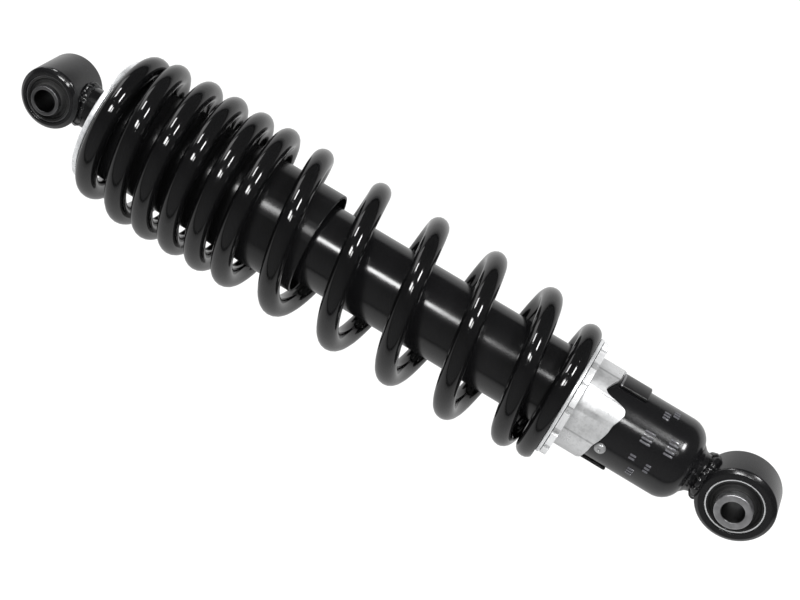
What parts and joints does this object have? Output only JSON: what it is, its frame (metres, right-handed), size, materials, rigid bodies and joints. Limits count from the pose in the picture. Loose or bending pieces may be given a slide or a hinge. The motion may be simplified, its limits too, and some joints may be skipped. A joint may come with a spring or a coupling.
{
  "type": "coil-over shock absorber",
  "caption": "Upright coil-over damper with an eye and rubber bush at each end, a two-rate coil spring, a dust tube and a stepped-cam preload collar.",
  "frame": {"origin": "centre of the lower eye, on the axis of its bolt", "axes": "+Z along the strut from the lower eye to the upper eye, +Y along both eye bolts"},
  "size_m": [0.0788, 0.078, 0.3932],
  "materials": {
    "black_paint": "gloss",
    "spring_coating": "high gloss powder coat",
    "black_plastic": "satin",
    "bright_zinc": "bright zinc plate",
    "bare_steel": "satin",
    "dark_steel": "dark oxide",
    "chrome_rod": "polished hard chrome",
    "rubber": "matt",
    "aluminium": "machined",
    "seal_compound": "matt"
  },
  "bodies": {
    "damper_body": {"damper_tube": "black_paint", "rod_guide": "aluminium", "rod_seal": "seal_compound", "seal_cap": "bare_steel", "rod_wiper": "rubber", "cam_lug_front": "black_paint", "cam_lug_rear": "black_paint", "cam_pin_front": "bright_zinc", "cam_pin_rear": "bright_zinc", "lower_neck": "black_paint", "lower_weld": "black_paint", "lower_eye": "black_paint", "lower_bush_ring": "bright_zinc", "lower_bush_rubber": "rubber"},
    "lower_bush": {"lower_sleeve": "bare_steel"},
    "gas_piston": {"floating_piston": "aluminium", "floating_seal": "seal_compound"},
    "seat": {"spring_seat": "bright_zinc", "coil_spring": "spring_coating"},
    "collar": {"preload_collar": "bright_zinc"},
    "rod_assembly": {"piston_rod": "chrome_rod", "piston": "aluminium", "piston_band": "seal_compound", "rebound_shims": "bare_steel", "compression_shims": "bare_steel", "piston_nut": "bare_steel", "rebound_stop": "bare_steel", "rebound_cushion": "rubber", "bump_stop": "rubber", "bump_washer": "bare_steel", "dust_tube": "black_plastic", "upper_spring_plate": "bright_zinc", "upper_neck": "black_paint", "upper_weld": "black_paint", "upper_eye": "black_paint", "upper_bush_ring": "dark_steel", "upper_bush_rubber": "rubber"},
    "upper_bush": {"upper_sleeve": "dark_steel"}
  },
  "joints": [
    {"name": "rod_slide", "type": "slide", "parent": "damper_body", "child": "rod_assembly", "axis": [0, 0, -1], "range_m": [0, 0.075], "stiffness_N_per_m": 30000, "springref_m": -0.01, "deforming": ["coil_spring"]},
    {"name": "seat_lift", "type": "slide", "parent": "damper_body", "child": "seat", "axis": [0, 0, 1], "range_m": [0, 0.00782]},
    {"name": "collar_turn", "type": "hinge", "parent": "seat", "child": "collar", "pos_m": [0, 0, 0.08], "axis": [0, 0, 1], "range_deg": [-85.1, 0]},
    {"name": "gas_piston_slide", "type": "slide", "parent": "damper_body", "child": "gas_piston", "axis": [0, 0, -1], "range_m": [0, 0.0093]},
    {"name": "lower_bush_twist", "type": "hinge", "parent": "damper_body", "child": "lower_bush", "pos_m": [0, 0, 0], "axis": [0, 1, 0], "range_deg": [-12, 12], "stiffness_Nm_per_rad": 60},
    {"name": "upper_bush_twist", "type": "hinge", "parent": "rod_assembly", "child": "upper_bush", "pos_m": [0, 0, 0.36], "axis": [0, 1, 0], "range_deg": [-12, 12], "stiffness_Nm_per_rad": 40}
  ],
  "couplings": [
    {"joint": "collar_turn", "follows": "seat_lift", "rad_per_m": -189.7},
    {"joint": "gas_piston_slide", "follows": "rod_slide", "ratio": 0.1233}
  ]
}
